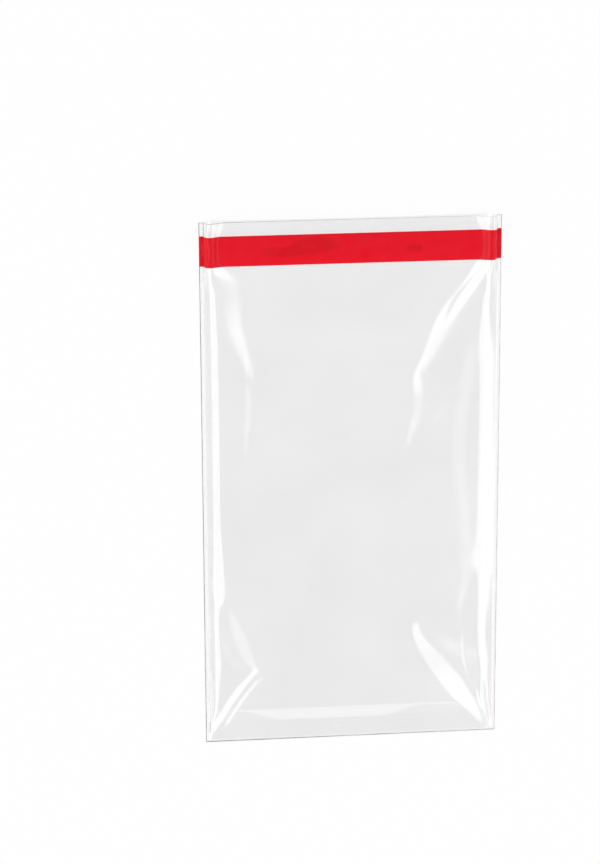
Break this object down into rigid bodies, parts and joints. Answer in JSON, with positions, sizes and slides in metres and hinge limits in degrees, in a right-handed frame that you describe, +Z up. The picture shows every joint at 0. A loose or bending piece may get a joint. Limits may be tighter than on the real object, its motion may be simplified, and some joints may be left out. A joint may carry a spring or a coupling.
{
  "type": "clear film bag",
  "caption": "Clear film bag with welded sides, a folded bottom and an open mouth, lying flat with a little air in it, with a red peel-and-seal strip across the front below the mouth.",
  "frame": {"origin": "on the ground under the middle of the bag as it lies on its back web", "axes": "+Y along the bag towards its mouth, +X across it, +Z up through the front web"},
  "size_m": [0.0984, 0.1792, 0.006],
  "materials": {
    "clear_film": "gloss",
    "adhesive": "satin",
    "red_liner": "gloss"
  },
  "bodies": {
    "root": {"film_bag": "clear_film", "adhesive_line": "adhesive", "red_liner": "red_liner"}
  },
  "joints": []
}
